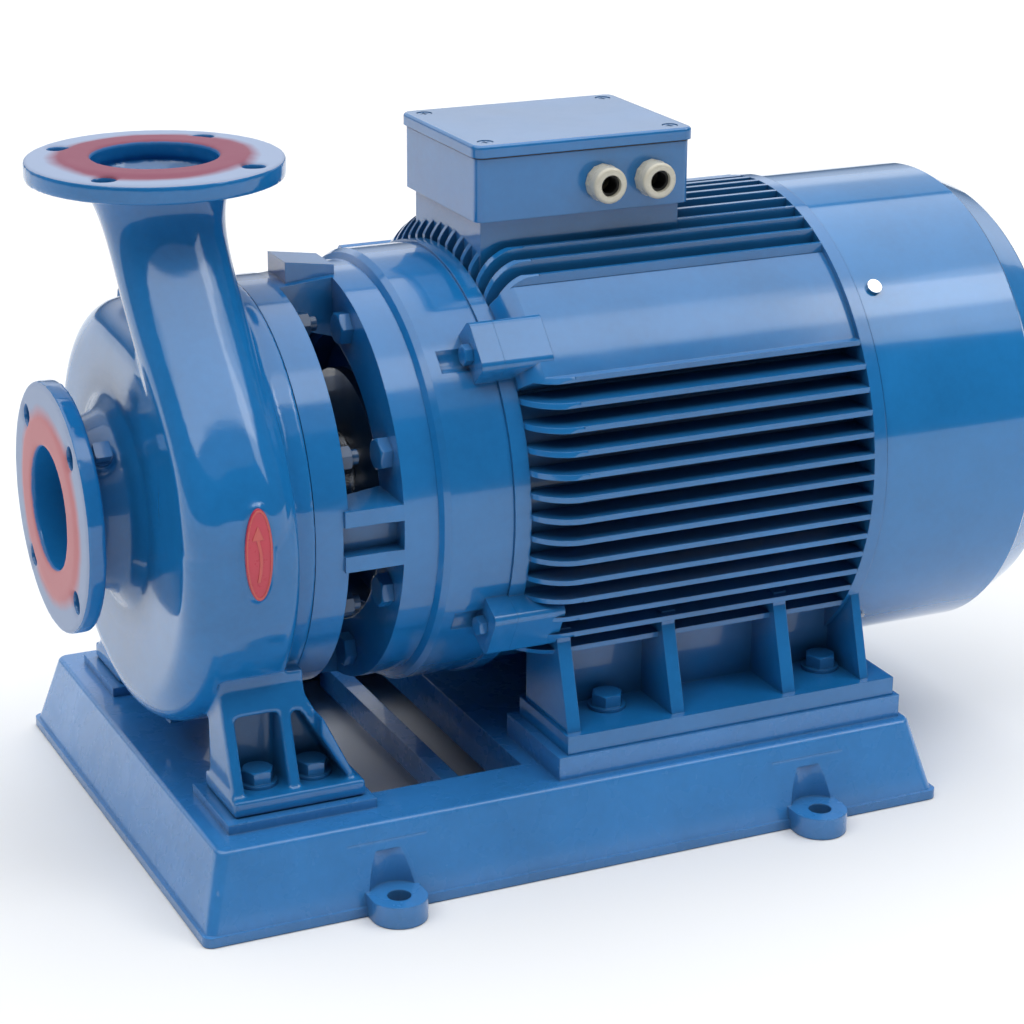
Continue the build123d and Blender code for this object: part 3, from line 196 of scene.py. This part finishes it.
def enamel(name, base, roughness, waviness=1.0, grit=1.0, edge=0.0012, coat=0.6, primer=None):
    """Thick glossy paint over a casting: slow waves, fine orange peel, painted shade with some dirt
    darkening the crevices, dust dulling them.
    """
    shade = Shade(name)
    # Uneven film, chalky flecks, and painted shade with some dirt in the hollows
    film = shade.noise(9.0, 4.0, 0.6)
    flecks = shade.noise(160.0, 3.0, 0.6)
    tint = shade.mix(shade.ramp(film, 0.3, 0.7), tone(base, 0.86), tone(base, 1.1))
    tint = shade.mix(shade.ramp(flecks, 0.35, 0.65, 0.0, 0.10), tint, tone(base, 1.5))
    # Painted shade with some dirt: ambient occlusion darkens the paint in the hollows
    clear = shade.node("ShaderNodeAmbientOcclusion", {"Distance": SHADE_AND_DUST_REACH}, samples=4).outputs["AO"]
    unshaded_and_dust_free = shade.ramp(clear, 0.2, 0.75, 0.3, 1.0)
    tint = shade.mix(unshaded_and_dust_free, tone(base, 0.25), tint)
    # Rounded edges, slow waves and orange peel
    normal = shade.rounded(edge)
    normal = shade.bump(shade.noise(14.0, 2.0, 0.45), WAVE_DEPTH * waviness, 0.4, normal)
    normal = shade.bump(shade.noise(420.0, 2.0, 0.5), PEEL_DEPTH * grit, 0.5, normal)
    # Patches of duller paint, and dust in the hollows
    rough = shade.ramp(shade.noise(30.0, 3.0, 0.6), 0.3, 0.7, roughness * 0.8, roughness * 1.3)
    rough = shade.maths("ADD", rough, shade.ramp(unshaded_and_dust_free, 0.3, 1.0, 0.45, 0.0))
    if primer:
        tint, bare = primer(shade, tint, film)
        rough = shade.maths("ADD", rough, shade.maths("MULTIPLY", bare, 0.45))
        coat = shade.maths("MULTIPLY", shade.maths("SUBTRACT", 1.0, bare), coat)
    return shade.finish(
        Base_Color=tint,
        Roughness=rough,
        Normal=normal,
        IOR=1.5,
        Coat_Weight=coat,
        Coat_Roughness=0.04,
    )


def flange_primer(shade, tint, film):
    """Red primer inside thin overspray on the two machined flange faces: tint and bare mask."""
    split = shade.node("ShaderNodeSeparateXYZ", {0: shade.coords}).outputs
    x, y, z = split[0], split[1], split[2]
    from_shaft = shade.maths("SUBTRACT", z, SHAFT_Z)
    from_port = shade.maths("SUBTRACT", x, DISCHARGE_X)
    below_neck = shade.maths("LESS_THAN", z, NECK_Z)
    at_suction_end = shade.maths("LESS_THAN", x, SUCTION_FACE_X + FACE_DEPTH)
    on_suction = shade.maths("MULTIPLY", at_suction_end, below_neck)
    on_discharge = shade.maths("GREATER_THAN", z, DISCHARGE_FACE_Z - FACE_DEPTH)
    # The discharge face takes the darker primer copy, which is painted shade
    faces = [
        (on_suction, y, from_shaft, PRIMER),
        (on_discharge, from_port, y, SHADED_PRIMER),
    ]
    bare = 0.0
    for on_face, across, along, primer in faces:
        squares = [shade.maths("MULTIPLY", side, side) for side in (across, along)]
        radius = shade.maths("SQRT", shade.maths("ADD", *squares))
        ragged = shade.maths("ADD", radius, shade.ramp(film, 0.3, 0.7, -0.004, 0.004))
        dusted = shade.mix(shade.ramp(ragged, *PRIMER_EDGE), primer, OVERSPRAY)
        inside = shade.mix(shade.ramp(radius, *PORT_EDGE), tint, dusted)
        tint = shade.mix(on_face, tint, inside)
        bare = shade.maths("MAXIMUM", bare, on_face)
    return tint, bare


def metal(name, base, roughness, brushed=(1.0, 1.0, 1.0), metallic=1.0):
    """Bare metal with fine turning or brushing marks."""
    shade = Shade(name)
    marks = shade.noise(300.0, 3.0, 0.6, stretch=brushed)
    blotch = shade.noise(25.0, 3.0, 0.6)
    tint = shade.mix(shade.ramp(blotch, 0.3, 0.7), tone(base, 0.8), tone(base, 1.0))
    rough = shade.ramp(marks, 0.3, 0.7, roughness * 0.7, roughness * 1.4)
    normal = shade.bump(marks, 0.00004, 0.4, shade.rounded(0.0005))
    return shade.finish(Base_Color=tint, Roughness=rough, Normal=normal, Metallic=metallic)


def plain(name, base, roughness, grain=250.0, depth=0.00008, variation=0.2, **extra):
    """Moulded plastic, rubber or fibre sheet with a fine grain."""
    shade = Shade(name)
    grains = shade.noise(grain, 4.0, 0.6)
    blotch = shade.noise(20.0, 2.0, 0.5)
    tint = shade.mix(shade.ramp(blotch, 0.3, 0.7), tone(base, 1.0 - variation), tone(base, 1.0))
    normal = shade.bump(grains, depth, 0.5, shade.rounded(0.0006))
    rough = shade.ramp(grains, 0.3, 0.7, roughness * 0.85, min(1.0, roughness * 1.15))
    return shade.finish(Base_Color=tint, Roughness=rough, Normal=normal, **extra)


cast_blue = enamel("cast_enamel", BLUE, roughness=0.15, waviness=0.8)
volute_blue = enamel("volute_enamel", BLUE, roughness=0.09, edge=0.002, coat=0.35, primer=flange_primer)
cowl_blue = enamel("sheet_enamel", SHEET_BLUE, roughness=0.10, waviness=0.2, grit=0.5)
base_blue = enamel("bedplate_enamel", BEDPLATE_BLUE, roughness=0.26, waviness=1.2, grit=2.0, edge=0.002)
# Painted shade: the dark copy of the blue, for parts in shade behind the lantern windows
inner_painted_shade_blue = enamel("shadowed_enamel", PAINTED_SHADE_BLUE, roughness=0.35, grit=1.5)
steel = metal("machined_steel", (0.55, 0.56, 0.58), 0.28, (1.0, 8.0, 8.0))
race_steel = metal("bearing_steel", (0.66, 0.67, 0.69), 0.12, (1.0, 8.0, 8.0))
spring_steel = metal("spring_steel", (0.42, 0.43, 0.45), 0.25)
bronze = metal("cast_bronze", (0.55, 0.33, 0.12), 0.38)
brass = metal("terminal_brass", (0.70, 0.48, 0.17), 0.25)
core_steel = metal("core_sheet", (0.16, 0.16, 0.17), 0.45, (40.0, 1.0, 1.0))
aluminium = metal("cage_aluminium", (0.62, 0.63, 0.65), 0.4)
copper = metal("winding_copper", (0.52, 0.19, 0.07), 0.35, (1.0, 6.0, 6.0), 0.8)
carbon = plain("lapped_carbon", (0.02, 0.02, 0.022), 0.25)
rubber = plain("black_rubber", (0.012, 0.012, 0.012), 0.6)
fibre = plain("gasket_fibre", (0.03, 0.035, 0.035), 0.8)
fan_black = plain("fan_black", (0.015, 0.015, 0.017), 0.45)
board_brown = plain("terminal_board_brown", (0.05, 0.03, 0.018), 0.4)
cream = plain("gland_cream", (0.70, 0.66, 0.54), 0.28, 120.0, 0.00004, 0.12, Coat_Weight=0.3)
red = plain("plate_red", (0.60, 0.032, 0.07), 0.3, 200.0, 0.00006, 0.15, Coat_Weight=0.4)
plate_edge = plain("plate_relief", (0.62, 0.10, 0.09), 0.3, 200.0, 0.00005, 0.1, Coat_Weight=0.3)

# Finish of each material slot of the record, and the nodes that differ from their slot
BY_SLOT = {
    "blue_enamel": cast_blue,
    "cowl_enamel": cowl_blue,
    "steel": steel,
    "bearing_steel": race_steel,
    "spring_steel": spring_steel,
    "bronze": bronze,
    "carbon": carbon,
    "rubber": rubber,
    "gasket": fibre,
    "core_steel": core_steel,
    "winding": copper,
    "cage_aluminium": aluminium,
    "fan_plastic": fan_black,
    "board": board_brown,
    "terminal_brass": brass,
    "gland_plastic": cream,
    "red_plate": red,
}
SPECIAL = {
    "base_plate": base_blue,
    "pump_casing": volute_blue,
    "casing_cover": inner_painted_shade_blue,
    "casing_nuts": inner_painted_shade_blue,
    "casing_studs": inner_painted_shade_blue,
    "drive_end_outer_cap": inner_painted_shade_blue,
    "slinger": rubber,
    "cowl_screws": race_steel,
}
slot_of = {part["node"]: part["material_slot"] for part in frame["record"]["subparts"]}
for node_name, node_object in frame["nodes"].items():
    finish = SPECIAL.get(node_name, BY_SLOT[slot_of[node_name]])
    node_object.data.materials.clear()
    node_object.data.materials.append(finish)

# ---- Cast casing and direction arrow ---------------------------------------------------

RELIEF = 0.0005  # the relief stands this far proud of the plate, and is sunk as far into it
RIM_INSIDE = (0.0092, 0.0345)  # half width and half height of the oval
RIM_OUTSIDE = (0.0104, 0.0362)
STEM_FOOT = -0.022  # heights above the middle of the plate
STEM_LENGTH = 0.034
STEM_HALF_WIDTH = 0.0011
STEM_BOW = 0.0024
HEAD_FOOT = 0.012
HEAD_LENGTH = 0.011
HEAD_HALF_WIDTH = 0.0046
ARROW_SHIFT = -0.001  # the whole arrow sits this far left of the middle


def as_cast(node_name, grain, passes):
    """Run the walls of a casting into each other the way foundry fillets do."""
    node = frame["nodes"][node_name]
    remesh = node.modifiers.new("skin", "REMESH")
    remesh.mode = "VOXEL"
    remesh.voxel_size = grain
    remesh.use_smooth_shade = True
    soften = node.modifiers.new("fillets", "SMOOTH")
    soften.factor = 0.5
    soften.iterations = passes


def arrow_relief():
    """Raised rim and turning arrow on the oval direction plate."""
    mesh = bmesh.new()

    def strip(inner, outer, closed):
        """Solid band between two outlines, through the face of the plate."""
        rings = []
        for outline, depth in ((inner, RELIEF), (inner, -RELIEF), (outer, -RELIEF), (outer, RELIEF)):
            rings.append([mesh.verts.new(PLATE_FACE + Vector((x, depth, z))) for x, z in outline])
        count = len(inner)
        for k in range(count if closed else count - 1):
            after = (k + 1) % count
            for a, b in ((0, 1), (1, 2), (2, 3), (3, 0)):
                mesh.faces.new((rings[a][k], rings[b][k], rings[b][after], rings[a][after]))
        if not closed:
            for k in (0, count - 1):
                mesh.faces.new([ring[k] for ring in rings])

    def oval(half_width, half_height):
        turns = [math.tau * k / 96 for k in range(96)]
        return [(half_width * math.cos(turn), half_height * math.sin(turn)) for turn in turns]

    def bowed(height):
        """Middle of the stem, which bows to the right between its two ends."""
        from_middle = height - STEM_FOOT - STEM_LENGTH / 2
        return STEM_BOW * math.cos(math.pi * from_middle / STEM_LENGTH) + ARROW_SHIFT

    strip(oval(*RIM_INSIDE), oval(*RIM_OUTSIDE), True)
    stem = [(bowed(height), height) for height in (STEM_FOOT + STEM_LENGTH * k / 24 for k in range(25))]
    strip(
        [(middle - STEM_HALF_WIDTH, height) for middle, height in stem],
        [(middle + STEM_HALF_WIDTH, height) for middle, height in stem],
        False,
    )
    head = [(HEAD_HALF_WIDTH * (1.0 - k / 10.5), HEAD_FOOT + HEAD_LENGTH * k / 10) for k in range(11)]
    strip(
        [(ARROW_SHIFT - half_width, height) for half_width, height in head],
        [(ARROW_SHIFT + half_width, height) for half_width, height in head],
        False,
    )
    bmesh.ops.recalc_face_normals(mesh, faces=mesh.faces)
    data = bpy.data.meshes.new("direction_arrow")
    mesh.to_mesh(data)
    mesh.free()
    data.materials.append(plate_edge)
    piece = bpy.data.objects.new("direction_arrow", data)
    scene.collection.objects.link(piece)
    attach(piece, "pump_set")


arrow_relief()
as_cast("pump_casing", grain=0.0018, passes=16)

# ---- Studio ----------------------------------------------------------------------------

# Light levels
WALL_FRONT = 0.08
WALL_BACK = 0.15
LEFT_GLOW = 0.03  # added on the left
CEILING_NEAR = 0.35  # above the viewer
CEILING_FAR = 2.8  # just in front of overhead
CEILING_DROP = 1.1  # taken away from overhead backwards
BACK_PANEL = 1.1
LAMP = 2.2

FLOOR_REACH = 9.0
FLOOR_DROP = 0.0006  # the floor lies this far below the feet


def make_floor():
    """Plain pale floor, a little uneven in tone."""
    mesh = bpy.data.meshes.new("floor")
    signs = ((-1, -1), (1, -1), (1, 1), (-1, 1))
    corners = [(FLOOR_REACH * sx, FLOOR_REACH * sy, -FLOOR_DROP) for sx, sy in signs]
    mesh.from_pydata(corners, [], [(0, 1, 2, 3)])
    floor = bpy.data.objects.new("floor", mesh)
    scene.collection.objects.link(floor)
    shade = Shade("studio_floor")
    grey = shade.ramp(shade.noise(1.5, 2.0, 0.5), 0.3, 0.7, 0.90, 0.92)
    pale = shade.mix(grey, colour(0, 0, 0), colour(1, 1, 1))
    mesh.materials.append(shade.finish(Base_Color=pale, Roughness=0.9, Specular_IOR_Level=0.1))


def make_world():
    """Soft studio: a wide ceiling panel, a second panel behind it and a small light in front."""
    world = bpy.data.worlds.new("studio")
    world.use_nodes = True
    scene.world = world
    tree = world.node_tree
    tree.nodes.clear()
    out = tree.nodes.new("ShaderNodeOutputWorld")
    background = tree.nodes.new("ShaderNodeBackground")
    tree.links.new(background.outputs[0], out.inputs["Surface"])
    direction = tree.nodes.new("ShaderNodeTexCoord").outputs["Generated"]
    split = tree.nodes.new("ShaderNodeSeparateXYZ")
    tree.links.new(direction, split.inputs[0])
    x, y, z = split.outputs[0], split.outputs[1], split.outputs[2]

    def step(value, low, high, a=0.0, b=1.0):
        """Value going from a to b while the input goes from low to high."""
        node = tree.nodes.new("ShaderNodeMapRange")
        node.inputs["From Min"].default_value = low
        node.inputs["From Max"].default_value = high
        node.inputs["To Min"].default_value = a
        node.inputs["To Max"].default_value = b
        tree.links.new(value, node.inputs["Value"])
        return node.outputs["Result"]

    def join(operation, *values):
        """One operation over several values."""
        total = values[0]
        for value in values[1:]:
            node = tree.nodes.new("ShaderNodeMath")
            node.operation = operation
            tree.links.new(total, node.inputs[0])
            tree.links.new(value, node.inputs[1])
            total = node.outputs[0]
        return total

    def between(value, low, high, soft=0.01):
        """Window from low to high, with edges that are twice this soft."""
        rise = step(value, low - soft, low + soft)
        fall = step(value, high + soft, high - soft)
        return join("MULTIPLY", rise, fall)

    # How far a direction leans back from overhead, as a slope
    lean = join("DIVIDE", y, step(z, 0.02, 1.0, 0.02, 1.0))
    wall = step(y, -0.15, 0.25, WALL_FRONT, WALL_BACK)
    left = step(x, -0.55, -0.75, 0.0, LEFT_GLOW)
    # Ceiling panel: dim above the viewer, brightest in front of overhead
    near_to_far = step(lean, -0.68, -0.60, CEILING_NEAR, CEILING_FAR)
    level = join("SUBTRACT", near_to_far, step(lean, -0.26, -0.20, 0.0, CEILING_DROP))
    overhead = join("MULTIPLY", step(z, 0.60, 0.63), step(lean, 0.82, 0.80), level)
    # Panel behind: fades out to the left and at the floor, and is dimmer above
    low_part = step(z, 0.02, 0.30, 0.0, BACK_PANEL)
    high_part = step(z, 0.36, 0.42, 1.0, 0.55)
    behind = join("MULTIPLY", step(lean, 0.88, 0.90), step(x, -0.60, -0.40), low_part, high_part)
    # Small light in front, on the right
    window = join("MULTIPLY", between(x, 0.50, 0.68), between(y, -0.62, -0.25))
    lamp = join("MULTIPLY", window, step(z, 0.30, 0.32, 0.0, LAMP))
    tree.links.new(join("ADD", wall, left, overhead, behind, lamp), background.inputs["Strength"])
    background.inputs["Color"].default_value = (0.97, 0.985, 1.0, 1.0)


make_floor()
make_world()
